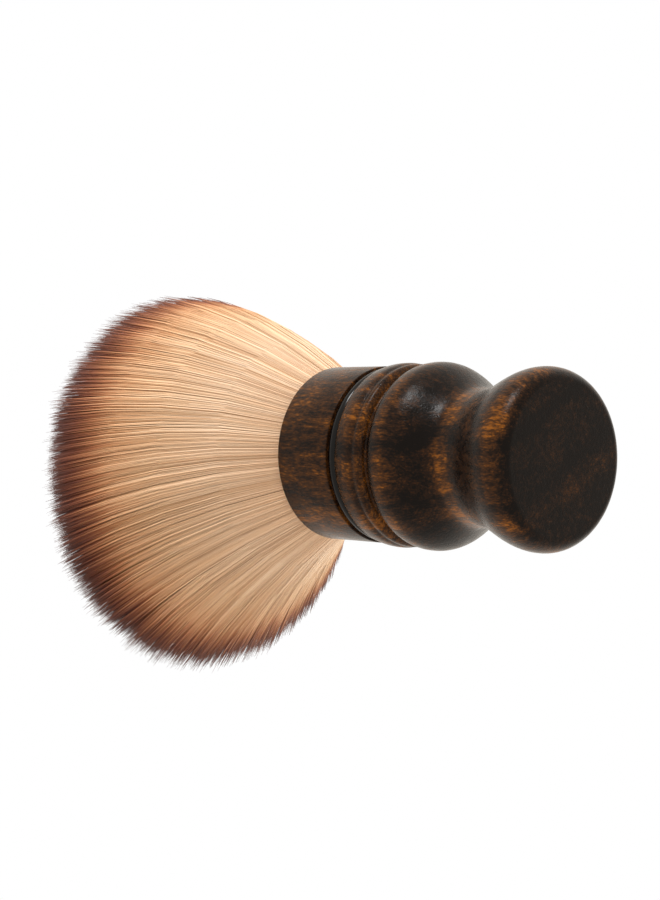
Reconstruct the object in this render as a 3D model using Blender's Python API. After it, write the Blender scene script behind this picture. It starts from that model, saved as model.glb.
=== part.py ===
"""A neck duster: a turned wooden handle with a black ring, and a flared knot of bristles set into its socket."""

import math

import bmesh
import bpy

MM = 0.001

# Heights run up the brush's axis from the flat end of the handle, in millimetres.
END_FACE_R = 18.5
KNOB_R, KNOB_Z = 22.0, 5.25
NECK_R, NECK_Z = 16.65, 24.9
BULB_R, BULB_Z = 22.75, 38.7
BULB_EDGE_R, BULB_EDGE_Z = 21.7, 42.5
VALLEY_R, VALLEY_Z = 20.1, 44.7
BEAD_R, BEAD_Z = 22.4, 48.5
BEAD_FOOT_R, BEAD_FOOT_Z = 21.5, 53.9
KNOB_FALL = 2.94  # how soon the knob drops towards the neck
BULB_FALL = 2.08

GROOVE_FLOOR_R = 19.8
GROOVE_TOP_Z = 56.8
GROOVE_CHAMFER = 0.25
COLLAR_FOOT_R = 21.5
RIM_R, RIM_Z = 21.15, 73.6
RIM_ROUND = 0.7
SOCKET_R, SOCKET_FLOOR_Z = 18.8, 58.0

FIT_GAP = 0.3  # between two pieces that touch in the real brush

RING_OUTER_R = 21.2
RING_CROWN = 0.35

ADHESIVE_THICK = 1.0
PLUG_THICK = 2.2
DISC_CHAMFER = 0.4

STEM_R = 18.3
WAIST_R = 16.9
THREAD_D = 0.8
WRAPS = 5
WAIST_START_Z = 63.6
WAIST_RAMP = 0.8

HEAD_FOOT_R = 20.6
HEAD_R = 46.5
HEAD_WIDE_Z = 123.6
HEAD_TOP_Z = 135.6
HEAD_FLARE = 1.9  # how late the head opens out
HEAD_LEAN = 7.5  # sideways, at the widest ring

ROUND_SEGMENTS = 64
HEAD_SEGMENTS = 72


def clear_scene():
    for obj in list(bpy.data.objects):
        bpy.data.objects.remove(obj, do_unlink=True)


def material(name, colour, roughness, metallic=0.0):
    made = bpy.data.materials.new(name)
    made.use_nodes = True
    shader = made.node_tree.nodes["Principled BSDF"]
    shader.inputs["Base Color"].default_value = (*colour, 1.0)
    shader.inputs["Roughness"].default_value = roughness
    shader.inputs["Metallic"].default_value = metallic
    made.diffuse_color = (*colour, 1.0)
    return made


def flank(crest, foot, fall, steps):
    """Points from a turned swelling's crest down to its foot, level at both, without the crest itself."""
    (crest_r, crest_z), (foot_r, foot_z) = crest, foot
    points = []
    for step in range(1, steps + 1):
        share = step / steps
        radius = foot_r + (crest_r - foot_r) * (1.0 - share * share) ** fall
        points.append((radius, crest_z + (foot_z - crest_z) * share))
    return points


def quarter(start, end, steps):
    """Points of a quarter ellipse that leaves start along the axis and reaches end across it, without start."""
    points = []
    for step in range(1, steps + 1):
        turn = math.pi / 2 * step / steps
        radius = end[0] + (start[0] - end[0]) * math.cos(turn)
        points.append((radius, start[1] + (end[1] - start[1]) * math.sin(turn)))
    return points


def arc(centre, radius, start_deg, end_deg, steps):
    points = []
    for step in range(steps + 1):
        turn = math.radians(start_deg + (end_deg - start_deg) * step / steps)
        points.append((centre[0] + radius * math.cos(turn), centre[1] + radius * math.sin(turn)))
    return points


def turned(name, outline, made_of, segments, closed_outline):
    """Spins an outline of (radius, height) points round the Z axis into one smooth closed mesh."""
    mesh = bmesh.new()
    verts = [mesh.verts.new((radius * MM, 0.0, height * MM)) for radius, height in outline]
    edges = [mesh.edges.new(pair) for pair in zip(verts, verts[1:])]
    if closed_outline:
        edges.append(mesh.edges.new((verts[-1], verts[0])))
    bmesh.ops.spin(
        mesh, geom=verts + edges, cent=(0, 0, 0), axis=(0, 0, 1), angle=2 * math.pi, steps=segments,
    )
    bmesh.ops.remove_doubles(mesh, verts=mesh.verts, dist=1e-6)
    bmesh.ops.recalc_face_normals(mesh, faces=mesh.faces)
    data = bpy.data.meshes.new(name)
    mesh.to_mesh(data)
    mesh.free()
    data.materials.append(made_of)
    data.shade_smooth()
    obj = bpy.data.objects.new(name, data)
    bpy.context.scene.collection.objects.link(obj)
    return obj


def grip_outline():
    """The handle's outside from the end face's edge up to the foot of the bead."""
    points = [(END_FACE_R, 0.0)]
    points += quarter((KNOB_R, KNOB_Z), (END_FACE_R, 0.0), 7)[-2::-1]
    points.append((KNOB_R, KNOB_Z))
    points += flank((KNOB_R, KNOB_Z), (NECK_R, NECK_Z), KNOB_FALL, 14)
    points += flank((BULB_R, BULB_Z), (NECK_R, NECK_Z), BULB_FALL, 12)[-2::-1]
    points.append((BULB_R, BULB_Z))
    points += quarter((BULB_R, BULB_Z), (BULB_EDGE_R, BULB_EDGE_Z), 5)
    points.append((VALLEY_R, VALLEY_Z))
    points += flank((BEAD_R, BEAD_Z), (VALLEY_R, VALLEY_Z), 1.0, 6)[-2::-1]
    points.append((BEAD_R, BEAD_Z))
    points += flank((BEAD_R, BEAD_Z), (BEAD_FOOT_R, BEAD_FOOT_Z), 1.0, 5)[:-1]
    return points


def collar_outline():
    """The ring's groove, the collar, its rounded lip and the socket, ending on the axis."""
    foot = BEAD_FOOT_Z
    points = [
        (BEAD_FOOT_R, foot - GROOVE_CHAMFER),
        (BEAD_FOOT_R - GROOVE_CHAMFER, foot),
        (GROOVE_FLOOR_R, foot),
        (GROOVE_FLOOR_R, GROOVE_TOP_Z),
        (COLLAR_FOOT_R - GROOVE_CHAMFER, GROOVE_TOP_Z),
        (COLLAR_FOOT_R, GROOVE_TOP_Z + GROOVE_CHAMFER),
    ]
    points += arc((RIM_R - RIM_ROUND, RIM_Z - RIM_ROUND), RIM_ROUND, 0, 90, 4)
    points += arc((SOCKET_R + RIM_ROUND, RIM_Z - RIM_ROUND), RIM_ROUND, 90, 180, 4)
    points += [(SOCKET_R, SOCKET_FLOOR_Z), (0.0, SOCKET_FLOOR_Z)]
    return points


def handle():
    """The solid wood handle, turned in one piece, with a blind socket in the collar for the bristles."""
    outline = [(0.0, 0.0)] + grip_outline() + collar_outline()
    stain = material("stained_wood", (0.045, 0.024, 0.012), 0.32)
    return turned("handle", outline, stain, ROUND_SEGMENTS, False)


def groove_ring():
    """The black ring that sits in the groove between the bead and the collar, its face slightly crowned."""
    low, high = BEAD_FOOT_Z + FIT_GAP, GROOVE_TOP_Z - FIT_GAP
    inner = GROOVE_FLOOR_R + FIT_GAP
    middle = (low + high) / 2
    shoulder = RING_OUTER_R - RING_CROWN
    outline = [(inner, low), (shoulder, low)]
    outline += quarter((RING_OUTER_R, middle), (shoulder, low), 4)[-2::-1]
    outline.append((RING_OUTER_R, middle))
    outline += quarter((RING_OUTER_R, middle), (shoulder, high), 4)
    outline.append((inner, high))
    black = material("black_ring", (0.008, 0.009, 0.011), 0.22)
    return turned("groove_ring", outline, black, ROUND_SEGMENTS, True)


def disc(name, low, thick, radius, made_of):
    outline = [
        (0.0, low), (radius - DISC_CHAMFER, low), (radius, low + DISC_CHAMFER),
        (radius, low + thick - DISC_CHAMFER), (radius - DISC_CHAMFER, low + thick), (0.0, low + thick),
    ]
    return turned(name, outline, made_of, ROUND_SEGMENTS, False)


def adhesive_bed():
    """The layer of set adhesive on the socket's floor."""
    amber = material("set_adhesive", (0.35, 0.22, 0.08), 0.25)
    low = SOCKET_FLOOR_Z + FIT_GAP
    return disc("adhesive_bed", low, ADHESIVE_THICK, SOCKET_R - FIT_GAP, amber)


def plug_low():
    return SOCKET_FLOOR_Z + 2 * FIT_GAP + ADHESIVE_THICK


def knot_plug():
    """The puck of cast resin that locks the bristles' root ends together."""
    resin = material("cast_resin", (0.62, 0.50, 0.30), 0.3)
    return disc("knot_plug", plug_low(), PLUG_THICK, STEM_R, resin)


def knot_binding():
    """The thread wound round the knot's waist, its wraps side by side."""
    start = WAIST_START_Z + WAIST_RAMP + FIT_GAP
    half = THREAD_D / 2
    middle = WAIST_R + FIT_GAP + half
    outline = [(WAIST_R + FIT_GAP, start)]
    for wrap in range(WRAPS):
        turn = arc((middle, start + THREAD_D * (wrap + 0.5)), half, -90, 90, 4)
        outline += turn if wrap == 0 else turn[1:]
    outline.append((WAIST_R + FIT_GAP, start + THREAD_D * WRAPS))
    thread = material("waxed_thread", (0.55, 0.48, 0.38), 0.8)
    return turned("knot_binding", outline, thread, ROUND_SEGMENTS, True)


def head_outline():
    """The flared head from over the collar's lip to the dome's middle."""
    points = []
    low = RIM_Z + FIT_GAP
    stations = 16
    for station in range(stations + 1):
        share = station / stations
        opened = math.sin(math.pi / 2 * share) ** HEAD_FLARE
        points.append((HEAD_FOOT_R + (HEAD_R - HEAD_FOOT_R) * opened, low + (HEAD_WIDE_Z - low) * share))
    points += quarter((HEAD_R, HEAD_WIDE_Z), (0.0, HEAD_TOP_Z), 10)
    return points


def lean(height):
    """How far the soft head sags to -X at this height, in millimetres: nothing at the lip, most at the top."""
    share = max(0.0, (height - RIM_Z) / (HEAD_WIDE_Z - RIM_Z))
    return HEAD_LEAN * (1.45 * share - 0.45 * share * share)


def bristle_knot():
    """All the bristles as one soft solid: the bound stem in the socket and the flared, sagging head."""
    low = plug_low() + PLUG_THICK + FIT_GAP
    waist_end = WAIST_START_Z + WAIST_RAMP + THREAD_D * WRAPS + 2 * FIT_GAP
    outline = [
        (0.0, low),
        (STEM_R, low),
        (STEM_R, WAIST_START_Z),
        (WAIST_R, WAIST_START_Z + WAIST_RAMP),
        (WAIST_R, waist_end),
        (STEM_R, waist_end + WAIST_RAMP),
        (STEM_R, RIM_Z + FIT_GAP),
    ]
    outline += head_outline()
    nylon = material("tan_bristle", (0.78, 0.54, 0.37), 0.55)
    obj = turned("bristle_knot", outline, nylon, HEAD_SEGMENTS, False)
    for vert in obj.data.vertices:
        vert.co.x -= lean(vert.co.z / MM) * MM
    return obj


clear_scene()
handle()
groove_ring()
adhesive_bed()
knot_plug()
knot_binding()
bristle_knot()
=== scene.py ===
"""A neck duster on a pale studio set: a turned, stained wood handle and a flared head of fine bristles."""

import math

import bpy
from mathutils import Matrix, Vector


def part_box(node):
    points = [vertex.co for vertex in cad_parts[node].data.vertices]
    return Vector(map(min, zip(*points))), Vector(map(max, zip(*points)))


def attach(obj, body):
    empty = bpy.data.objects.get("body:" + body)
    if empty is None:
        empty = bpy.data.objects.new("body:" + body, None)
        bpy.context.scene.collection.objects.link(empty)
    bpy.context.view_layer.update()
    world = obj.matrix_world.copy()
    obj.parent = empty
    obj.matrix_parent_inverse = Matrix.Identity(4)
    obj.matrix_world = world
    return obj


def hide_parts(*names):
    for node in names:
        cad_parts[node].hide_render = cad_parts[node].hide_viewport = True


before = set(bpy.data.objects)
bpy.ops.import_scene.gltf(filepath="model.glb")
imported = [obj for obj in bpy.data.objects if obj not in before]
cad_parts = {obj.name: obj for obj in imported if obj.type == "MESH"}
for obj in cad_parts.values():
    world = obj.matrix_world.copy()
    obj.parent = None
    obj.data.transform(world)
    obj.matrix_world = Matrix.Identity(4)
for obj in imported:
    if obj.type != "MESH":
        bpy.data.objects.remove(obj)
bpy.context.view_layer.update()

MM = 0.001

# ---------------------------------------------------------------------------------------------
# The handle. One piece of beech, turned on a lathe between centres: knob, neck, bulb, bead and
# collar. It is stained nearly black, rubbed back so that amber wood shows on the quirks and
# shoulders, then brushed with clear lacquer, which has crept a little as it dried.
# ---------------------------------------------------------------------------------------------

END_FACE_R = 18.5  # millimetres from here on, heights from the flat end of the handle
KNOB_R, KNOB_Z, KNOB_FALL = 22.0, 5.25, 2.94
NECK_R, NECK_Z = 16.65, 24.9
BULB_R, BULB_Z, BULB_FALL = 22.75, 38.7, 2.08
BULB_EDGE_R, BULB_EDGE_Z = 21.7, 42.5
QUIRK_R, QUIRK_Z = 20.1, 44.7
RIDGE_R, RIDGE_Z = 22.15, 46.6  # the narrow raised line beside the quirk
RIDGE_FOOT_R, RIDGE_FOOT_Z = 21.95, 47.6
BEAD_R, BEAD_Z = 22.4, 49.3
BEAD_FOOT_R, BEAD_FOOT_Z = 21.5, 53.9
GROOVE_FLOOR_R, GROOVE_TOP_Z, GROOVE_EDGE = 19.8, 56.8, 0.28
COLLAR_FOOT_R = 21.5
RIM_R, RIM_Z, RIM_ROUND = 21.15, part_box("handle")[1].z / MM, 0.7
SOCKET_R, SOCKET_FLOOR_Z = 18.8, 58.0
END_EDGE = [(-0.6, 0.0), (-0.1, 0.03)]  # steps out from the end face's edge, and up
QUIRK_FLANK = [(0.9, -1.15), (0.25, -0.3)]  # the same from the bottom of the quirk, on the bulb's side
RIDGE_BACK, RIDGE_FALL, RIDGE_DIP = (0.02, 0.3), (0.08, -0.3), (0.08, 0.25)
BEAD_START = (-0.1, -0.9)
TURNED_STEPS = 192  # faces round the handle


def fall(crest, foot, power, steps):
    """A swelling's curve from its crest down to its foot, level at both ends, without the crest."""
    points = []
    for step in range(1, steps + 1):
        share = step / steps
        radius = foot[0] + (crest[0] - foot[0]) * (1.0 - share * share) ** power
        points.append((radius, crest[1] + (foot[1] - crest[1]) * share))
    return points


def quarter(start, end, steps):
    """A quarter ellipse that leaves start along the axis and reaches end across it, without start."""
    points = []
    for step in range(1, steps + 1):
        turn = math.pi / 2 * step / steps
        radius = end[0] + (start[0] - end[0]) * math.cos(turn)
        points.append((radius, start[1] + (end[1] - start[1]) * math.sin(turn)))
    return points


def rounded(corner, radius, start_deg, end_deg, steps=6):
    points = []
    for step in range(steps + 1):
        turn = math.radians(start_deg + (end_deg - start_deg) * step / steps)
        points.append((corner[0] + radius * math.cos(turn), corner[1] + radius * math.sin(turn)))
    return points


knob, neck, bulb = (KNOB_R, KNOB_Z), (NECK_R, NECK_Z), (BULB_R, BULB_Z)
quirk, ridge, bead = (QUIRK_R, QUIRK_Z), (RIDGE_R, RIDGE_Z), (BEAD_R, BEAD_Z)
outline = [(0.0, 0.0), (END_FACE_R / 2, 0.0)] + [(END_FACE_R + out, up) for out, up in END_EDGE]
outline += quarter(knob, (END_FACE_R, 0.0), 16)[-2::-1] + [knob]
outline += fall(knob, neck, KNOB_FALL, 40)
outline += fall(bulb, neck, BULB_FALL, 32)[-2::-1] + [bulb]
outline += quarter(bulb, (BULB_EDGE_R, BULB_EDGE_Z), 10)
outline += [(QUIRK_R + out, QUIRK_Z + up) for out, up in QUIRK_FLANK] + [quirk]
outline += fall(ridge, quirk, 0.8, 9)[-2::-1] + [ridge]
outline += [(RIDGE_R + RIDGE_BACK[0], RIDGE_Z + RIDGE_BACK[1])]
outline += [(RIDGE_FOOT_R + RIDGE_FALL[0], RIDGE_FOOT_Z + RIDGE_FALL[1]), (RIDGE_FOOT_R, RIDGE_FOOT_Z)]
outline += [(RIDGE_FOOT_R + RIDGE_DIP[0], RIDGE_FOOT_Z + RIDGE_DIP[1])]
outline += [(BEAD_R + BEAD_START[0], BEAD_Z + BEAD_START[1]), bead]
outline += fall(bead, (BEAD_FOOT_R, BEAD_FOOT_Z), 0.8, 10)[:-1]
outline += rounded((BEAD_FOOT_R - GROOVE_EDGE, BEAD_FOOT_Z - GROOVE_EDGE), GROOVE_EDGE, 0, 90, 4)
outline += [(GROOVE_FLOOR_R, BEAD_FOOT_Z), (GROOVE_FLOOR_R, GROOVE_TOP_Z)]
outline += rounded(
    (COLLAR_FOOT_R - GROOVE_EDGE, GROOVE_TOP_Z + GROOVE_EDGE), GROOVE_EDGE, -90, 0, 4,
)
outline += rounded((RIM_R - RIM_ROUND, RIM_Z - RIM_ROUND), RIM_ROUND, 0, 90)
outline += rounded((SOCKET_R + RIM_ROUND, RIM_Z - RIM_ROUND), RIM_ROUND, 90, 180)
outline += [(SOCKET_R, SOCKET_FLOOR_Z), (0.0, SOCKET_FLOOR_Z)]


def add(tree, kind, ins=None, out=None, stops=None, **settings):
    """Adds one node with its settings. ins holds a value or a link for each input, by name or number."""
    node = tree.nodes.new(kind)
    for key, value in settings.items():
        setattr(node, key, value)
    if stops and hasattr(node, "color_ramp"):
        while len(node.color_ramp.elements) < len(stops):
            node.color_ramp.elements.new(1.0)
        for element, (place, shade) in zip(node.color_ramp.elements, stops):
            element.position = place
            element.color = shade
    elif stops:
        line = node.mapping.curves[0].points
        while len(line) < len(stops):
            line.new(1.0, 1.0)
        for point, place in zip(line, stops):
            point.location = place
        node.mapping.update()
    for key, value in (ins or {}).items():
        live = [socket for socket in node.inputs if socket.enabled]
        socket = live[key] if isinstance(key, int) else next(s for s in live if s.name == key)
        if isinstance(value, bpy.types.NodeSocket):
            tree.links.new(value, socket)
        else:
            socket.default_value = value
    live = [socket for socket in node.outputs if socket.enabled]
    if not live:
        return node
    return live[0] if out is None else next(s for s in live if s.name == out)


def new_tree(name, inputs):
    """A geometry tree with these inputs, given as name: kind, and the inputs' sockets by name."""
    tree = bpy.data.node_groups.new(name, "GeometryNodeTree")
    tree.interface.new_socket(name="Geometry", in_out="INPUT", socket_type="NodeSocketGeometry")
    for label, kind in inputs.items():
        tree.interface.new_socket(name=label, in_out="INPUT", socket_type="NodeSocket" + kind)
    tree.interface.new_socket(name="Geometry", in_out="OUTPUT", socket_type="NodeSocketGeometry")
    start = tree.nodes.new("NodeGroupInput")
    return tree, {socket.name: socket for socket in start.outputs if socket.name}


def made_by(tree, name, values, mesh=None):
    """Runs a geometry tree with these input values and gives its result as a plain mesh object."""
    carrier = bpy.data.objects.new(name, mesh or bpy.data.meshes.new(name + "_seed"))
    bpy.context.scene.collection.objects.link(carrier)
    modifier = carrier.modifiers.new("made", "NODES")
    modifier.node_group = tree
    for item in tree.interface.items_tree:
        if item.in_out == "INPUT" and item.name in values:
            modifier[item.identifier] = values[item.name]
    graph = bpy.context.evaluated_depsgraph_get()
    made = bpy.data.meshes.new_from_object(carrier.evaluated_get(graph))
    made.name = name
    made.materials.clear()
    made.materials.append(values["Finish"])
    carrier.modifiers.remove(modifier)
    carrier.data = made
    return carrier


lathe, given = new_tree("turned_on_the_lathe", {"Steps Round": "Int", "Finish": "Material"})
rows = add(
    lathe, "GeometryNodeAttributeDomainSize", {"Geometry": given["Geometry"]}, out="Point Count",
)
columns = add(lathe, "ShaderNodeMath", {0: given["Steps Round"], 1: 1.0}, operation="ADD")
grid = add(
    lathe, "GeometryNodeMeshGrid",
    {"Size X": 1.0, "Size Y": 1.0, "Vertices X": columns, "Vertices Y": rows},
)
spot = add(lathe, "ShaderNodeSeparateXYZ", {0: add(lathe, "GeometryNodeInputPosition")})
turn = add(lathe, "ShaderNodeMath", {0: spot, 1: 0.5}, operation="ADD")
angle = add(lathe, "ShaderNodeMath", {0: turn, 1: 2 * math.pi}, operation="MULTIPLY")
share = add(lathe, "ShaderNodeMath", {0: spot.node.outputs["Y"], 1: 0.5}, operation="ADD")
last = add(lathe, "ShaderNodeMath", {0: rows, 1: 1.0}, operation="SUBTRACT")
row = add(lathe, "ShaderNodeMath", {0: share, 1: last}, operation="MULTIPLY")
row = add(lathe, "ShaderNodeMath", {0: row}, operation="ROUND")
cut = add(
    lathe, "GeometryNodeSampleIndex",
    {"Geometry": given["Geometry"], "Value": add(lathe, "GeometryNodeInputPosition"), "Index": row},
    data_type="FLOAT_VECTOR", domain="POINT",
)
spun = add(
    lathe, "ShaderNodeVectorRotate", {"Vector": cut, "Axis": (0, 0, 1), "Angle": angle},
    rotation_type="AXIS_ANGLE",
)
shell = add(lathe, "GeometryNodeSetPosition", {"Geometry": grid, "Position": spun})
shell = add(lathe, "GeometryNodeMergeByDistance", {"Geometry": shell, "Distance": 1e-6})
shell = add(lathe, "GeometryNodeSetShadeSmooth", {"Geometry": shell, "Shade Smooth": True})
shell = add(lathe, "GeometryNodeRealizeInstances", {"Geometry": shell})
shell = add(lathe, "GeometryNodeSetMaterial", {"Geometry": shell, "Material": given["Finish"]})
add(lathe, "NodeGroupOutput", {"Geometry": shell})


def turned(name, points, finish):
    """Turns an outline of (radius, height) points, in millimetres, into one closed shell."""
    seed = bpy.data.meshes.new(name + "_outline")
    seed.from_pydata([(radius * MM, 0.0, height * MM) for radius, height in points], [], [])
    return made_by(lathe, name, {"Steps Round": TURNED_STEPS, "Finish": finish}, seed)


def tint(code):
    """An sRGB hex colour as the linear RGBA that a node takes."""
    parts = [int(code[place:place + 2], 16) / 255 for place in (1, 3, 5)]
    return (*[p / 12.92 if p <= 0.04045 else ((p + 0.055) / 1.055) ** 2.4 for p in parts], 1.0)


def new_finish(name):
    finish = bpy.data.materials.new(name)
    finish.use_nodes = True
    finish.node_tree.nodes.clear()
    return finish, finish.node_tree


def surface(look, inputs):
    """Ends a look in one shader with these inputs."""
    body = add(look, "ShaderNodeBsdfPrincipled", inputs)
    add(look, "ShaderNodeOutputMaterial", {"Surface": body})


# Stained beech under brushed lacquer: beech has short dark flecks and long soft bands along the
# grain, the dark stain sinks into both, and the lacquer gives broad, slightly broken highlights.
STAIN_BLACK, STAIN_BROWN, RUBBED_BROWN, AMBER = "#080403", "#1e1007", "#3c220b", "#784610"
AMBER_BY_HEIGHT = [  # (height in millimetres, how far the stain was rubbed back, 0 to 1)
    (0.0, 0.05), (0.6, 0.1), (2.0, 0.4), (4.5, 0.48), (7.0, 0.32), (9.5, 0.24), (12.0, 0.14),
    (15.5, 0.17), (18.5, 0.26), (20.8, 0.3), (22.4, 0.58), (24.2, 0.6), (26.0, 0.42), (28.0, 0.2),
    (31.0, 0.02), (33.0, 0.08), (35.0, 0.2), (37.0, 0.32), (39.0, 0.52), (40.8, 0.4), (42.6, 0.1),
    (44.2, 0.52), (46.6, 0.5), (47.6, 0.36), (49.0, 0.5), (51.0, 0.44), (53.5, 0.3), (56.8, 0.38),
    (60.0, 0.44), (66.0, 0.46), (71.0, 0.42), (74.0, 0.48),
]
FLECK_MM, FLECK_LONG_MM = 0.42, 1.5
STREAK_MM, STREAK_LONG_MM = 1.5, 9.0
CLOUD_MM, WANDER_MM = 8.0, 1.2  # the second: how far the rubbed zones stray along the handle
BEND_MM, BEND_REACH_MM = 14.0, 3.2  # slow bends in the grain, how long and how far
FLECK_SHARE, STREAK_SHARE, CLOUD_SHARE, BAND_SHARE = 1.35, 1.0, 0.7, 0.6  # of each pattern in the tone
BAND_FACING = (0.865, -0.503, 0.0)  # the way across the growth rings, seen on the end face
BAND_SPAN = 60.0
BAND_TONES = [  # (millimetres across the blank, how light the wood is there)
    (-24.0, 0.5), (-15.0, 0.42), (-10.5, 0.5), (-7.0, 0.86), (-4.0, 0.55), (-1.5, 0.18), (0.6, 0.5),
    (6.0, 0.55), (10.5, 0.5), (12.2, 0.04), (13.6, 0.12), (15.5, 0.6), (20.0, 0.55), (24.0, 0.5),
]
CREEP_MM, CREEP_DEPTH_MM = 1.1, 0.14  # how wide and how deep the lacquer's wrinkles are
FLECK_RELIEF = 0.25  # how much of the flecks shows through the lacquer

lacquered, look = new_finish("beech_turned_dark_stained_brushed_lacquer")
place = add(look, "ShaderNodeTexCoord", out="Object")
sway = add(
    look, "ShaderNodeTexNoise", {"Vector": place, "Scale": 1 / (BEND_MM * MM), "Detail": 2.0},
    out="Color",
)
sway = add(look, "ShaderNodeVectorMath", {0: sway, 1: (0.5, 0.5, 0.5)}, operation="SUBTRACT")
sway = add(look, "ShaderNodeVectorMath", {0: sway, "Scale": BEND_REACH_MM * MM}, operation="SCALE")
bent = add(look, "ShaderNodeVectorMath", {0: place, 1: sway}, operation="ADD")
fleck_at = add(
    look, "ShaderNodeMapping",
    {"Vector": bent, "Scale": (1 / (FLECK_MM * MM), 1 / (FLECK_MM * MM), 1 / (FLECK_LONG_MM * MM))},
)
fleck = add(
    look, "ShaderNodeTexNoise", {"Vector": fleck_at, "Scale": 1.0, "Detail": 3.0, "Roughness": 0.6},
)
streak_at = add(
    look, "ShaderNodeMapping",
    {"Vector": bent, "Scale": (1 / (STREAK_MM * MM), 1 / (STREAK_MM * MM), 1 / (STREAK_LONG_MM * MM))},
)
streak = add(look, "ShaderNodeTexNoise", {"Vector": streak_at, "Scale": 1.0, "Detail": 2.0})
cloud = add(look, "ShaderNodeTexNoise", {"Vector": place, "Scale": 1 / (CLOUD_MM * MM), "Detail": 2.0})
across = add(
    look, "ShaderNodeVectorMath", {0: bent, 1: BAND_FACING}, operation="DOT_PRODUCT", out="Value",
)
across = add(
    look, "ShaderNodeMapRange",
    {"Value": across, "From Min": -BAND_SPAN / 2 * MM, "From Max": BAND_SPAN / 2 * MM},
)
band = add(
    look, "ShaderNodeValToRGB", {"Fac": across},
    stops=[(0.5 + at / BAND_SPAN, (tone, tone, tone, 1.0)) for at, tone in BAND_TONES],
)
height = add(look, "ShaderNodeSeparateXYZ", {0: place}, out="Z")
wander = add(
    look, "ShaderNodeMath", {0: cloud, 1: WANDER_MM * MM, 2: -WANDER_MM / 2 * MM},
    operation="MULTIPLY_ADD",
)
height = add(look, "ShaderNodeMath", {0: height, 1: wander}, operation="ADD")
height = add(look, "ShaderNodeMath", {0: height, 1: AMBER_BY_HEIGHT[-1][0] * MM}, operation="DIVIDE")
rubbed = add(
    look, "ShaderNodeFloatCurve", {"Value": height},
    stops=[(at / AMBER_BY_HEIGHT[-1][0], amount) for at, amount in AMBER_BY_HEIGHT],
)
amber = rubbed
for pattern, part in (
    (fleck, FLECK_SHARE), (streak, STREAK_SHARE), (cloud, CLOUD_SHARE), (band, BAND_SHARE),
):
    lift = add(look, "ShaderNodeMath", {0: pattern, 1: part, 2: -part / 2}, operation="MULTIPLY_ADD")
    amber = add(look, "ShaderNodeMath", {0: amber, 1: lift}, operation="ADD")
colour = add(
    look, "ShaderNodeValToRGB", {"Fac": amber},
    stops=[
        (0.0, tint(STAIN_BLACK)), (0.3, tint(STAIN_BROWN)), (0.6, tint(RUBBED_BROWN)),
        (0.95, tint(AMBER)),
    ],
)
wrinkle = add(
    look, "ShaderNodeTexNoise",
    {"Vector": place, "Scale": 1 / (CREEP_MM * MM), "Detail": 3.0, "Distortion": 1.2},
)
relief = add(look, "ShaderNodeMath", {0: fleck, 1: FLECK_RELIEF}, operation="MULTIPLY")
relief = add(look, "ShaderNodeMath", {0: wrinkle, 1: relief}, operation="ADD")
skin = add(
    look, "ShaderNodeBump", {"Height": relief, "Strength": 0.5, "Distance": CREEP_DEPTH_MM * MM},
)
shine = add(
    look, "ShaderNodeMapRange",
    {"Value": streak, "From Min": 0.3, "From Max": 0.7, "To Min": 0.22, "To Max": 0.34},
)
surface(look, {
    "Base Color": colour, "Roughness": shine, "Normal": skin, "IOR": 1.5, "Specular IOR Level": 0.085,
})

handle = turned("turned_handle", outline, lacquered)
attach(handle, "root")
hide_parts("handle")

# ---------------------------------------------------------------------------------------------
# The black ring. A moulded band pressed into the groove between bead and collar, gloss black,
# with a slightly crowned face that stands just below the wood on both sides.
# ---------------------------------------------------------------------------------------------

ring_low, ring_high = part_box("groove_ring")
RING_R, RING_CROWN, RING_EDGE, RING_GAP = ring_high.x / MM, 0.35, 0.15, 0.3
low, high = ring_low.z / MM, ring_high.z / MM
inner = GROOVE_FLOOR_R + RING_GAP
face = [(RING_R - RING_CROWN - RING_EDGE, low), (RING_R - RING_CROWN, low + RING_EDGE)]
RING_STEPS = 14
for step in range(1, RING_STEPS):
    share = step / RING_STEPS
    crown = RING_CROWN * (1.0 - (2 * share - 1.0) ** 2)
    up = low + RING_EDGE + (high - low - 2 * RING_EDGE) * share
    face.append((RING_R - RING_CROWN + crown, up))
face += [(RING_R - RING_CROWN, high - RING_EDGE), (RING_R - RING_CROWN - RING_EDGE, high)]
ring_outline = [(inner, low)] + face + [(inner, high), (inner, low)]

# Moulded ABS, gloss black: a deep even black with a faint orange-peel ripple in its highlight
# and hairline rub marks round it.
RIPPLE_MM, RIPPLE_DEPTH_MM = 1.6, 0.05
RUB_MM, RUB_LONG_MM = 0.25, 9.0
gloss_black, look = new_finish("abs_moulded_gloss_black")
place = add(look, "ShaderNodeTexCoord", out="Object")
ripple = add(
    look, "ShaderNodeTexNoise", {"Vector": place, "Scale": 1 / (RIPPLE_MM * MM), "Detail": 1.0},
)
rub_at = add(
    look, "ShaderNodeMapping",
    {"Vector": place, "Scale": (1 / (RUB_LONG_MM * MM), 1 / (RUB_LONG_MM * MM), 1 / (RUB_MM * MM))},
)
rub = add(look, "ShaderNodeTexNoise", {"Vector": rub_at, "Scale": 1.0, "Detail": 2.0})
colour = add(
    look, "ShaderNodeValToRGB", {"Fac": rub}, stops=[(0.35, tint("#040405")), (0.75, tint("#0b0c0e"))],
)
shine = add(look, "ShaderNodeMapRange", {"Value": rub, "To Min": 0.1, "To Max": 0.3})
skin = add(
    look, "ShaderNodeBump", {"Height": ripple, "Strength": 0.15, "Distance": RIPPLE_DEPTH_MM * MM},
)
surface(look, {
    "Base Color": colour, "Roughness": shine, "Normal": skin, "IOR": 1.53, "Specular IOR Level": 0.12,
})

ring = turned("black_band", ring_outline, gloss_black)
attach(ring, "root")
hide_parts("groove_ring")

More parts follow.
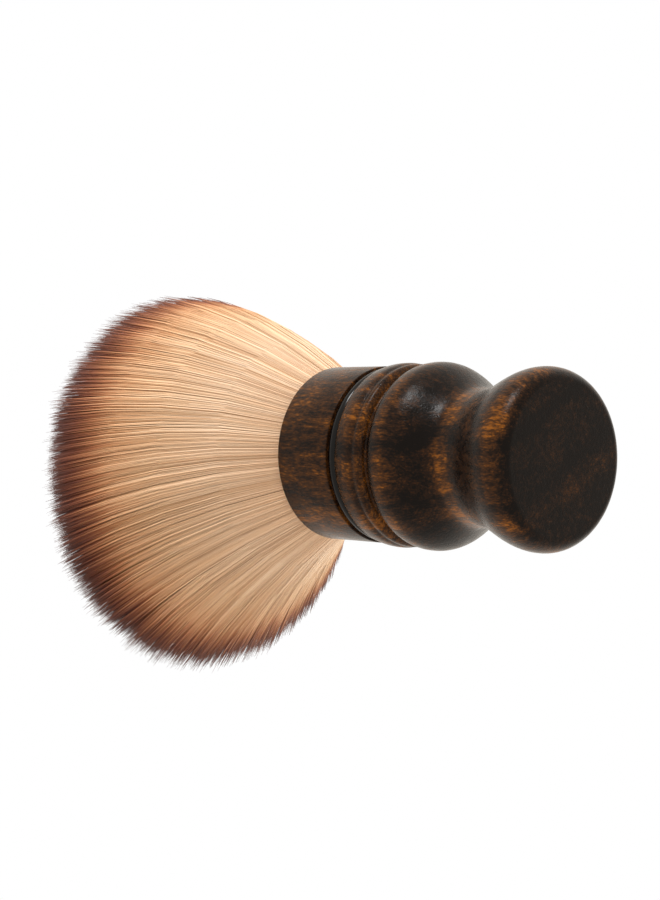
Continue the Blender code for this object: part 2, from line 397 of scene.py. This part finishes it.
# ---------------------------------------------------------------------------------------------
# What holds the knot, out of sight in the socket: a bed of set epoxy on its floor, a puck of cast
# polyester resin round the root ends, and waxed thread wound round the waist. All three keep
# their modelled shape.
# ---------------------------------------------------------------------------------------------


def finish_node(name, finish):
    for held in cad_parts[name].material_slots:
        held.material = finish


# Two-part epoxy, poured and set: clear amber, glossy, clouded by a few trapped bubbles.
BUBBLE_MM, BUBBLE_DEPTH_MM, HAZE_MM = 1.2, 0.1, 5.0
epoxy, look = new_finish("epoxy_poured_and_set_amber")
place = add(look, "ShaderNodeTexCoord", out="Object")
bubble = add(look, "ShaderNodeTexVoronoi", {"Vector": place, "Scale": 1 / (BUBBLE_MM * MM)})
cloud = add(look, "ShaderNodeTexNoise", {"Vector": place, "Scale": 1 / (HAZE_MM * MM), "Detail": 3.0})
colour = add(
    look, "ShaderNodeValToRGB", {"Fac": cloud}, stops=[(0.3, tint("#8a5a22")), (0.7, tint("#b98a48"))],
)
shine = add(look, "ShaderNodeMapRange", {"Value": bubble, "To Min": 0.3, "To Max": 0.14})
skin = add(
    look, "ShaderNodeBump", {"Height": bubble, "Strength": 0.3, "Distance": BUBBLE_DEPTH_MM * MM},
)
surface(look, {"Base Color": colour, "Roughness": shine, "Normal": skin, "IOR": 1.55})
finish_node("adhesive_bed", epoxy)

# Polyester resin cast round the cut ends: creamy, satin, stippled with the ends of the bristles,
# drawn about three times their real size so that they show.
END_MM, END_DEPTH_MM = 0.5, 0.08
resin, look = new_finish("polyester_resin_cast_round_bristle_ends")
place = add(look, "ShaderNodeTexCoord", out="Object")
end = add(look, "ShaderNodeTexVoronoi", {"Vector": place, "Scale": 1 / (END_MM * MM)})
colour = add(
    look, "ShaderNodeValToRGB", {"Fac": end},
    stops=[(0.25, tint("#8d6a48")), (0.45, tint("#d9c29a")), (0.9, tint("#cdb288"))],
)
shine = add(look, "ShaderNodeMapRange", {"Value": end, "To Min": 0.5, "To Max": 0.32})
skin = add(look, "ShaderNodeBump", {"Height": end, "Strength": 0.3, "Distance": END_DEPTH_MM * MM})
surface(look, {"Base Color": colour, "Roughness": shine, "Normal": skin, "IOR": 1.54})
finish_node("knot_plug", resin)

# Waxed polyester thread: fine plies twisted at a slant across each wrap, dull with wax, with a
# little lint. Its colour is painted darker in the grooves between the plies, following the same
# ripple that the bump sinks: painted shade. The lint's mottling is the thread's own.
PLY_MM, PLY_DEPTH_MM, TWIST, LINT_MM = 0.45, 0.1, 0.9, 0.3
thread, look = new_finish("polyester_thread_twisted_and_waxed")
place = add(look, "ShaderNodeTexCoord", out="Object")
wound = add(look, "ShaderNodeSeparateXYZ", {0: place})
round_by = add(
    look, "ShaderNodeMath", {0: wound.node.outputs["Y"], 1: wound}, operation="ARCTAN2",
)
run = add(look, "ShaderNodeMath", {0: round_by, 1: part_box("knot_binding")[1].x}, operation="MULTIPLY")
slant = add(
    look, "ShaderNodeMath", {0: wound.node.outputs["Z"], 1: TWIST, 2: run}, operation="MULTIPLY_ADD",
)
ply = add(look, "ShaderNodeMath", {0: slant, 1: 2 * math.pi / (PLY_MM * MM)}, operation="MULTIPLY")
ply = add(look, "ShaderNodeMath", {0: ply}, operation="SINE")
lint = add(look, "ShaderNodeTexNoise", {"Vector": place, "Scale": 1 / (LINT_MM * MM), "Detail": 3.0})
# ply ripple plus lint: the relief of the plies, and also the painted shade in their grooves
ply_relief_and_shade = add(look, "ShaderNodeMath", {0: lint, 1: ply}, operation="ADD")
# painted shade: the ramp darkens the hollows between the plies, where the bump is lowest
colour = add(
    look, "ShaderNodeValToRGB", {"Fac": ply_relief_and_shade}, stops=[(0.0, tint("#8f7f68")), (1.0, tint("#d6c8ac"))],
)
shine = add(look, "ShaderNodeMapRange", {"Value": lint, "To Min": 0.6, "To Max": 0.9})
skin = add(look, "ShaderNodeBump", {"Height": ply_relief_and_shade, "Strength": 0.5, "Distance": PLY_DEPTH_MM * MM})
surface(look, {"Base Color": colour, "Roughness": shine, "Normal": skin, "Sheen Weight": 0.2})
finish_node("knot_binding", thread)

# ---------------------------------------------------------------------------------------------
# The bristles. Tapered nylon filament, tan with the tips dipped in brown dye, packed into a round
# knot, bound, cast in resin and then fluffed, so that it flares from the socket into a soft dome
# of locks and sags a little to one side.
# ---------------------------------------------------------------------------------------------

LAYERS, BRISTLES_EACH, POINTS_ALONG = 9, 5200, 7
ROOT_R = 18.6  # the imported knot, where the bristles leave the socket
ROOT_SUNK = 3.0  # how far below the lip a bristle's first point lies
ROOT_UNEVEN = 0.1
BRISTLE_D, BRISTLE_SIDES = 0.17, 3
TAPER = [(0.0, 0.5), (0.7, 0.5), (0.91, 0.42), (1.0, 0.14)]  # (share of the length, radius in diameters)
TIP_CROWDING = 1.5  # above 1, the points along a bristle lie closer together towards its tip
EDGE_LENGTH, MIDDLE_LENGTH = 62.0, 66.0  # clear of the lip, for the outer and the middle bristles
RIM_STARTS = 0.75  # the share of the bristles that is inside the rim
RIM_SHORTFALL = 0.1  # the most that a bristle in the rim loses of its length
FLARE_POWER = 0.74  # below 1, the bristles near the middle lean out more than in proportion
FLARE_AT_LIP, FLARE_AT_TIPS = 33.0, 25.0  # degrees that the outermost bristles lean out along X
SIDE_FLARE_AT_LIP, SIDE_FLARE_AT_TIPS = 36.0, 31.0  # the same along Y
SAG_AT_LIP, SAG_AT_TIPS = 0.5, 18.0  # degrees that the whole head leans down to -X
SWAY_AT_LIP, SWAY_AT_TIPS = -6.0, 11.5  # degrees that it leans to +Y
FLARE_CORE = 0.02  # share of the root radius within which the flare's power is held level
LOCK_MM, STRAND_MM = 3.0, 0.38  # widths at the roots, which grow two and a half times by the tips
LOCK_PULL, STRAND_PULL = 0.07, 0.24  # how far a bristle is drawn to its lock's and its strand's middle
LOCK_TILT, STRAND_TILT, STRAY = 0.18, 0.12, 0.32  # millimetres aside at the root, spread out by the flare
LOCK_LENGTH, STRAND_LENGTH, BRISTLE_LENGTH = 0.008, 0.008, 0.014  # spread of the cut length
LOCK_SHADE, STRAND_SHADE, BRISTLE_SHADE = 0.16, 0.42, 0.56  # spread of the filament's shade
SHADE_STEPS = 64  # columns of the bristles' UV map, one for each shade of the filament
COLUMN_USED, COLUMN_MARGIN = 0.7, 0.15  # of each column's width
SEED = 11

knot, given = new_tree(
    "bristles_packed_in_a_knot",
    {
        "Bristles": "Int", "First Bristle": "Int", "Bristles In All": "Int", "Points Along": "Int",
        "Bristle Thickness": "Float", "Root Radius": "Float", "Root Sunk": "Float",
        "Lip Height": "Float", "Edge Length": "Float", "Middle Length": "Float",
        "Rim Shortfall": "Float", "Flare Power": "Float", "Flare At Lip": "Float",
        "Flare At Tips": "Float", "Side Flare At Lip": "Float", "Side Flare At Tips": "Float",
        "Sag At Lip": "Float",
        "Sag At Tips": "Float", "Sway At Lip": "Float", "Sway At Tips": "Float",
        "Lock Width": "Float", "Strand Width": "Float", "Seed": "Int", "Finish": "Material",
    },
)
# Which bristle, and how far along it, a point is. The first point is down in the socket.
index = add(knot, "GeometryNodeInputIndex")
local = add(knot, "ShaderNodeMath", {0: index, 1: given["Points Along"]}, operation="DIVIDE")
local = add(knot, "ShaderNodeMath", {0: local}, operation="FLOOR")
step = add(knot, "ShaderNodeMath", {0: index, 1: given["Points Along"]}, operation="MODULO")
final = add(knot, "ShaderNodeMath", {0: given["Points Along"], 1: 2.0}, operation="SUBTRACT")
along = add(knot, "ShaderNodeMath", {0: step, 1: 1.0}, operation="SUBTRACT")
along = add(knot, "ShaderNodeMath", {0: along, 1: final}, operation="DIVIDE")
sunk = add(knot, "ShaderNodeMath", {0: along, 1: 0.0}, operation="LESS_THAN")
along = add(knot, "ShaderNodeMath", {0: along, 1: 0.0}, operation="MAXIMUM")
along = add(knot, "ShaderNodeMath", {0: 1.0, 1: along}, operation="SUBTRACT")
along = add(knot, "ShaderNodeMath", {0: along, 1: TIP_CROWDING}, operation="POWER")
along = add(knot, "ShaderNodeMath", {0: 1.0, 1: along}, operation="SUBTRACT")
bristle = add(knot, "ShaderNodeMath", {0: local, 1: given["First Bristle"]}, operation="ADD")

# Where it is rooted: evenly packed in a disc, slightly uneven as hand packing leaves it.
outward = add(knot, "ShaderNodeMath", {0: bristle, 1: 0.5}, operation="ADD")
outward = add(knot, "ShaderNodeMath", {0: outward, 1: given["Bristles In All"]}, operation="DIVIDE")
root_r = add(knot, "ShaderNodeMath", {0: outward}, operation="SQRT")
root_r = add(knot, "ShaderNodeMath", {0: root_r, 1: given["Root Radius"]}, operation="MULTIPLY")
GOLDEN_TURN = math.pi * (3.0 - math.sqrt(5.0))
angle = add(knot, "ShaderNodeMath", {0: bristle, 1: GOLDEN_TURN}, operation="MULTIPLY")
root = add(knot, "ShaderNodeCombineXYZ", {0: root_r})
root = add(
    knot, "ShaderNodeVectorRotate", {"Vector": root, "Axis": (0, 0, 1), "Angle": angle},
    rotation_type="AXIS_ANGLE",
)
uneven = add(
    knot, "FunctionNodeRandomValue",
    {
        "Min": (-ROOT_UNEVEN * MM, -ROOT_UNEVEN * MM, 0), "Max": (ROOT_UNEVEN * MM, ROOT_UNEVEN * MM, 0),
        "ID": bristle, "Seed": given["Seed"],
    },
    data_type="FLOAT_VECTOR",
)
root = add(knot, "ShaderNodeVectorMath", {0: root, 1: uneven}, operation="ADD")

# Its lock and its finer strand: neighbours cling together, more so towards the tips.
lock_scale = add(knot, "ShaderNodeMath", {0: 1.0, 1: given["Lock Width"]}, operation="DIVIDE")
lock = add(
    knot, "ShaderNodeTexVoronoi", {"Vector": root, "Scale": lock_scale}, voronoi_dimensions="2D",
).node
strand_scale = add(knot, "ShaderNodeMath", {0: 1.0, 1: given["Strand Width"]}, operation="DIVIDE")
strand = add(
    knot, "ShaderNodeTexVoronoi", {"Vector": root, "Scale": strand_scale}, voronoi_dimensions="2D",
).node
late = add(knot, "ShaderNodeMath", {0: along, 1: 2.0}, operation="POWER")
way = root
for clump, hold in ((strand, STRAND_PULL), (lock, LOCK_PULL)):
    pull = add(knot, "ShaderNodeMath", {0: late, 1: hold}, operation="MULTIPLY")
    way = add(
        knot, "ShaderNodeMix", {"Factor": pull, "A": way, "B": clump.outputs["Position"]},
        data_type="VECTOR",
    )
next_seed = add(knot, "ShaderNodeMath", {0: given["Seed"], 1: 1.0}, operation="ADD")
stray = add(
    knot, "FunctionNodeRandomValue",
    {"Min": (0, 0, 0), "Max": (1, 1, 1), "ID": bristle, "Seed": next_seed}, data_type="FLOAT_VECTOR",
)
for chance, reach in (
    (lock.outputs["Color"], LOCK_TILT), (strand.outputs["Color"], STRAND_TILT), (stray, STRAY),
):
    aside = add(knot, "ShaderNodeVectorMath", {0: chance, 1: (0.5, 0.5, 0.5)}, operation="SUBTRACT")
    aside = add(
        knot, "ShaderNodeVectorMath", {0: aside, 1: (2 * reach * MM, 2 * reach * MM, 0)},
        operation="MULTIPLY",
    )
    aside = add(knot, "ShaderNodeVectorMath", {0: aside, "Scale": late}, operation="SCALE")
    way = add(knot, "ShaderNodeVectorMath", {0: way, 1: aside}, operation="ADD")

# Its length: a shallow dome, with locks, strands and single bristles a little longer or shorter,
# and the outermost up to a tenth shorter again, which thins out the rim.
length = add(
    knot, "ShaderNodeMapRange",
    {"Value": outward, "To Min": given["Middle Length"], "To Max": given["Edge Length"]},
)
cut = None
for chance, spread in (
    (lock.outputs["Color"], LOCK_LENGTH), (strand.outputs["Color"], STRAND_LENGTH),
    (stray, BRISTLE_LENGTH),
):
    chance = add(knot, "ShaderNodeSeparateXYZ", {0: chance}, out="Z")
    chance = add(
        knot, "ShaderNodeMath", {0: chance, 1: 2 * spread, 2: -spread if cut else 1.0 - spread},
        operation="MULTIPLY_ADD",
    )
    cut = add(knot, "ShaderNodeMath", {0: cut, 1: chance}, operation="ADD") if cut else chance
length = add(knot, "ShaderNodeMath", {0: length, 1: cut}, operation="MULTIPLY")
rim = add(
    knot, "ShaderNodeMapRange",
    {"Value": outward, "From Min": RIM_STARTS, "To Max": given["Rim Shortfall"]},
    interpolation_type="SMOOTHSTEP",
)
chance = add(knot, "ShaderNodeSeparateXYZ", {0: stray}, out="X")
rim = add(knot, "ShaderNodeMath", {0: rim, 1: chance}, operation="MULTIPLY")
rim = add(knot, "ShaderNodeMath", {0: 1.0, 1: rim}, operation="SUBTRACT")
length = add(knot, "ShaderNodeMath", {0: length, 1: rim}, operation="MULTIPLY")

# Which way it leans, averaged from the lip up to this point.
lip_share = add(knot, "ShaderNodeMath", {0: along, 1: -0.5, 2: 1.0}, operation="MULTIPLY_ADD")
bend = {}
for name in ("Flare", "Side Flare", "Sag", "Sway"):
    bend[name] = add(
        knot, "ShaderNodeMix",
        {"Factor": lip_share, "A": given[name + " At Tips"], "B": given[name + " At Lip"]},
        data_type="FLOAT",
    )
unit = add(knot, "ShaderNodeMath", {0: 1.0, 1: given["Root Radius"]}, operation="DIVIDE")
way = add(knot, "ShaderNodeVectorMath", {0: way, "Scale": unit}, operation="SCALE")
width = add(knot, "ShaderNodeVectorMath", {0: way}, operation="LENGTH", out="Value")
width = add(knot, "ShaderNodeMath", {0: width, 1: FLARE_CORE}, operation="MAXIMUM")
power = add(knot, "ShaderNodeMath", {0: given["Flare Power"], 1: 1.0}, operation="SUBTRACT")
width = add(knot, "ShaderNodeMath", {0: width, 1: power}, operation="POWER")
way = add(knot, "ShaderNodeVectorMath", {0: way, "Scale": width}, operation="SCALE")
way = add(knot, "ShaderNodeSeparateXYZ", {0: way}).node
over = add(knot, "ShaderNodeMath", {0: way.outputs["X"], 1: bend["Flare"]}, operation="MULTIPLY")
over = add(knot, "ShaderNodeMath", {0: over, 1: bend["Sag"]}, operation="SUBTRACT")
across = add(
    knot, "ShaderNodeMath", {0: way.outputs["Y"], 1: bend["Side Flare"], 2: bend["Sway"]},
    operation="MULTIPLY_ADD",
)
lean = add(knot, "ShaderNodeCombineXYZ", {"X": over, "Y": across})
slope = add(knot, "ShaderNodeVectorMath", {0: lean}, operation="LENGTH", out="Value")
aside = add(knot, "ShaderNodeMath", {0: slope}, operation="SINE")
upward = add(knot, "ShaderNodeMath", {0: slope}, operation="COSINE")
lean = add(knot, "ShaderNodeVectorMath", {0: lean}, operation="NORMALIZE")
lean = add(knot, "ShaderNodeVectorMath", {0: lean, "Scale": aside}, operation="SCALE")
upward = add(knot, "ShaderNodeCombineXYZ", {"Z": upward})
lean = add(knot, "ShaderNodeVectorMath", {0: lean, 1: upward}, operation="ADD")
travel = add(knot, "ShaderNodeMath", {0: length, 1: along}, operation="MULTIPLY")
spot = add(knot, "ShaderNodeVectorMath", {0: lean, "Scale": travel}, operation="SCALE")
spot = add(knot, "ShaderNodeVectorMath", {0: spot, 1: root}, operation="ADD")
drop = add(knot, "ShaderNodeMath", {0: sunk, 1: given["Root Sunk"]}, operation="MULTIPLY")
height = add(knot, "ShaderNodeMath", {0: given["Lip Height"], 1: drop}, operation="SUBTRACT")
height = add(knot, "ShaderNodeCombineXYZ", {"Z": height})
spot = add(knot, "ShaderNodeVectorMath", {0: spot, 1: height}, operation="ADD")

# The filaments themselves: three-sided, tapered to the tip, each closed at both ends.
points = add(
    knot, "ShaderNodeMath", {0: given["Bristles"], 1: given["Points Along"]}, operation="MULTIPLY",
)
points = add(knot, "GeometryNodePoints", {"Count": points, "Position": spot})
hairs = add(
    knot, "GeometryNodePointsToCurves", {"Points": points, "Curve Group ID": local, "Weight": step},
)
shade = None
for chance, spread in (
    (lock.outputs["Color"], LOCK_SHADE), (strand.outputs["Color"], STRAND_SHADE), (stray, BRISTLE_SHADE),
):
    chance = add(knot, "ShaderNodeSeparateXYZ", {0: chance}, out="Y")
    chance = add(
        knot, "ShaderNodeMath", {0: chance, 1: spread, 2: -spread / 2 if shade else 0.5 - spread / 2},
        operation="MULTIPLY_ADD",
    )
    shade = add(knot, "ShaderNodeMath", {0: shade, 1: chance}, operation="ADD") if shade else chance
shade = add(knot, "ShaderNodeMath", {0: shade, 1: SHADE_STEPS}, operation="MULTIPLY")
shade = add(knot, "ShaderNodeMath", {0: shade}, operation="FLOOR")
shade = add(knot, "ShaderNodeClamp", {"Value": shade, "Min": 0.0, "Max": SHADE_STEPS - 1.0})
for name, value in (("shade", shade), ("along", along)):
    hairs = add(
        knot, "GeometryNodeStoreNamedAttribute", {"Geometry": hairs, "Name": name, "Value": value},
        data_type="FLOAT", domain="POINT",
    )
section = add(knot, "GeometryNodeCurvePrimitiveCircle", {"Resolution": BRISTLE_SIDES, "Radius": 1.0})
side = add(knot, "GeometryNodeInputIndex")
side = add(knot, "ShaderNodeMath", {0: side, 1: BRISTLE_SIDES}, operation="DIVIDE")
section = add(
    knot, "GeometryNodeStoreNamedAttribute", {"Geometry": section, "Name": "side", "Value": side},
    data_type="FLOAT", domain="POINT",
)
taper = add(knot, "ShaderNodeFloatCurve", {"Value": along}, stops=TAPER)
taper = add(knot, "ShaderNodeMath", {0: taper, 1: given["Bristle Thickness"]}, operation="MULTIPLY")
hairs = add(
    knot, "GeometryNodeCurveToMesh",
    {"Curve": hairs, "Profile Curve": section, "Scale": taper, "Fill Caps": True},
)
column = add(knot, "GeometryNodeInputNamedAttribute", {"Name": "side"}, data_type="FLOAT")
column = add(
    knot, "ShaderNodeMath", {0: column, 1: COLUMN_USED, 2: COLUMN_MARGIN}, operation="MULTIPLY_ADD",
)
whole = add(knot, "GeometryNodeInputNamedAttribute", {"Name": "shade"}, data_type="FLOAT")
column = add(knot, "ShaderNodeMath", {0: column, 1: whole}, operation="ADD")
column = add(knot, "ShaderNodeMath", {0: column, 1: SHADE_STEPS}, operation="DIVIDE")
laid = add(knot, "GeometryNodeInputNamedAttribute", {"Name": "along"}, data_type="FLOAT")
laid = add(knot, "ShaderNodeCombineXYZ", {"X": column, "Y": laid})
hairs = add(
    knot, "GeometryNodeStoreNamedAttribute", {"Geometry": hairs, "Name": "OFBake", "Value": laid},
    data_type="FLOAT2", domain="CORNER",
)
for name in ("side", "shade", "along"):
    hairs = add(knot, "GeometryNodeRemoveAttribute", {"Geometry": hairs, "Name": name})
hairs = add(knot, "GeometryNodeSetShadeSmooth", {"Geometry": hairs, "Shade Smooth": True})
hairs = add(knot, "GeometryNodeRealizeInstances", {"Geometry": hairs})
hairs = add(knot, "GeometryNodeSetMaterial", {"Geometry": hairs, "Material": given["Finish"]})
add(knot, "NodeGroupOutput", {"Geometry": hairs})

# Nylon filament, extruded and tapered, dyed in bulk and dipped at the tips: tan with a soft silky
# sheen, each filament a little lighter or darker than the next, and tips that go from reddish
# brown to a dark purple brown over the last quarter.
TIP_WANDER = 0.07  # how unevenly the dip took, as a share of the length
filament, look = new_finish("nylon_filament_dip_dyed_tips")
laid = add(look, "ShaderNodeSeparateXYZ", {0: add(look, "ShaderNodeUVMap", uv_map="OFBake")})
column = add(look, "ShaderNodeMath", {0: laid, 1: SHADE_STEPS}, operation="MULTIPLY")
column = add(look, "ShaderNodeMath", {0: column}, operation="FLOOR")
shade = add(look, "ShaderNodeMath", {0: column, 1: SHADE_STEPS}, operation="DIVIDE")
chance = add(look, "ShaderNodeTexWhiteNoise", {"W": column}, noise_dimensions="1D")
dip = add(
    look, "ShaderNodeMath", {0: chance, 1: TIP_WANDER, 2: -TIP_WANDER / 2}, operation="MULTIPLY_ADD",
)
dip = add(look, "ShaderNodeMath", {0: laid.node.outputs["Y"], 1: dip}, operation="ADD")
dyed = add(
    look, "ShaderNodeValToRGB", {"Fac": dip},
    stops=[
        (0.0, tint("#f8dcc1")), (0.3, tint("#fbe3ca")), (0.6, tint("#f9dab8")),
        (0.74, tint("#f0c59c")), (0.82, tint("#cc8e64")), (0.885, tint("#96583c")),
        (0.94, tint("#703c2e")), (1.0, tint("#563234")),
    ],
)
tone = add(
    look, "ShaderNodeValToRGB", {"Fac": shade},
    stops=[(0.0, tint("#c6ac90")), (0.5, tint("#f3eadf")), (1.0, tint("#ffffff"))],
)
colour = add(
    look, "ShaderNodeMix", {"Factor": 1.0, "A": dyed, "B": tone}, data_type="RGBA",
    blend_type="MULTIPLY",
)
shine = add(look, "ShaderNodeMapRange", {"Value": shade, "To Min": 0.52, "To Max": 0.4})
surface(look, {"Base Color": colour, "Roughness": shine, "IOR": 1.53})

for layer in range(LAYERS):
    sizes = {
        "Bristles": BRISTLES_EACH, "First Bristle": layer * BRISTLES_EACH,
        "Bristles In All": LAYERS * BRISTLES_EACH, "Points Along": POINTS_ALONG,
        "Bristle Thickness": BRISTLE_D * MM, "Root Radius": ROOT_R * MM,
        "Root Sunk": ROOT_SUNK * MM, "Lip Height": RIM_Z * MM,
        "Edge Length": EDGE_LENGTH * MM, "Middle Length": MIDDLE_LENGTH * MM,
        "Rim Shortfall": RIM_SHORTFALL, "Flare Power": FLARE_POWER,
        "Flare At Lip": math.radians(FLARE_AT_LIP), "Flare At Tips": math.radians(FLARE_AT_TIPS),
        "Side Flare At Lip": math.radians(SIDE_FLARE_AT_LIP),
        "Side Flare At Tips": math.radians(SIDE_FLARE_AT_TIPS),
        "Sag At Lip": math.radians(SAG_AT_LIP), "Sag At Tips": math.radians(SAG_AT_TIPS),
        "Sway At Lip": math.radians(SWAY_AT_LIP), "Sway At Tips": math.radians(SWAY_AT_TIPS),
        "Lock Width": LOCK_MM * MM, "Strand Width": STRAND_MM * MM, "Seed": SEED,
        "Finish": filament,
    }
    bristles = made_by(knot, f"bristles_layer_{layer + 1}", sizes)
    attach(bristles, "root")
    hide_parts("bristle_knot")

# ---------------------------------------------------------------------------------------------
# The studio: a pale matt floor well below, a white surround, a soft box level with the brush on its
# +X side, and a long lens that looks up from under the handle's end, with +X at the picture's top.
# ---------------------------------------------------------------------------------------------

FLOOR_Z, FLOOR_SIDE = -1.5, 14.0  # metres
PAPER_GRAINS_PER_M = 40.0
floor_mesh = bpy.data.meshes.new("studio_floor")
half = FLOOR_SIDE / 2
floor_mesh.from_pydata(
    [(-half, -half, FLOOR_Z), (half, -half, FLOOR_Z), (half, half, FLOOR_Z), (-half, half, FLOOR_Z)],
    [], [(0, 1, 2, 3)],
)
floor = bpy.data.objects.new("studio_floor", floor_mesh)
bpy.context.scene.collection.objects.link(floor)
matt, look = new_finish("paper_matt_white")
place = add(look, "ShaderNodeTexCoord", out="Object")
grain = add(look, "ShaderNodeTexNoise", {"Vector": place, "Scale": PAPER_GRAINS_PER_M, "Detail": 4.0})
colour = add(
    look, "ShaderNodeValToRGB", {"Fac": grain}, stops=[(0.3, tint("#f1f0ee")), (0.7, tint("#f6f5f3"))],
)
surface(look, {"Base Color": colour, "Roughness": 0.9})
floor_mesh.materials.append(matt)

world = bpy.data.worlds.new("white_surround")
bpy.context.scene.world = world
world.use_nodes = True
world.node_tree.nodes.clear()
SEEN_LIGHT, ROOM_LIGHT = 1.0, 1.38  # the surround as the camera sees it, and as it lights the brush
seen = add(world.node_tree, "ShaderNodeBackground", {"Color": (1, 1, 1, 1), "Strength": SEEN_LIGHT})
lit = add(
    world.node_tree, "ShaderNodeBackground", {"Color": tint("#fff7ec"), "Strength": ROOM_LIGHT},
)
direct = add(world.node_tree, "ShaderNodeLightPath", out="Is Camera Ray")
mixed = add(world.node_tree, "ShaderNodeMixShader", {0: direct, 1: lit, 2: seen})
add(world.node_tree, "ShaderNodeOutputWorld", {"Surface": mixed})

BRUSH_MIDDLE = Vector((0.0, 0.0, 68.0 * MM))
KEY_SIDE = Vector((0.88, -0.34, -0.06)).normalized()
KEY_DISTANCE, KEY_WIDTH, KEY_HEIGHT = 1.0, 0.22, 0.16  # metres
KEY_WATTS = 5.8
lamp = bpy.data.lights.new("key_soft_box", "AREA")
lamp.shape = "RECTANGLE"
lamp.size, lamp.size_y = KEY_WIDTH, KEY_HEIGHT
lamp.energy = KEY_WATTS
box = bpy.data.objects.new("key_soft_box", lamp)
box.location = BRUSH_MIDDLE + KEY_SIDE * KEY_DISTANCE
box.rotation_euler = KEY_SIDE.to_track_quat("Z", "Y").to_euler()
bpy.context.scene.collection.objects.link(box)

LENS_MM, SENSOR_MM = 159.0, 36.0
AIM = Vector((0.66, -9.84, 66.67)) * MM
DISTANCE = 967.5 * MM
RIGHT = Vector((0.03216, 0.6984, -0.7149))
UP = Vector((0.99948, -0.02247, 0.0230))
camera_data = bpy.data.cameras.new("camera")
camera_data.lens, camera_data.sensor_width = LENS_MM, SENSOR_MM
camera_data.clip_start, camera_data.clip_end = 0.01, 100.0
camera = bpy.data.objects.new("camera", camera_data)
back = RIGHT.cross(UP).normalized()
stand = Matrix((RIGHT.normalized(), UP.normalized(), back)).transposed().to_4x4()
stand.translation = AIM + back * DISTANCE
camera.matrix_world = stand
bpy.context.scene.collection.objects.link(camera)
bpy.context.scene.camera = camera
bpy.context.scene.view_settings.view_transform = "Standard"
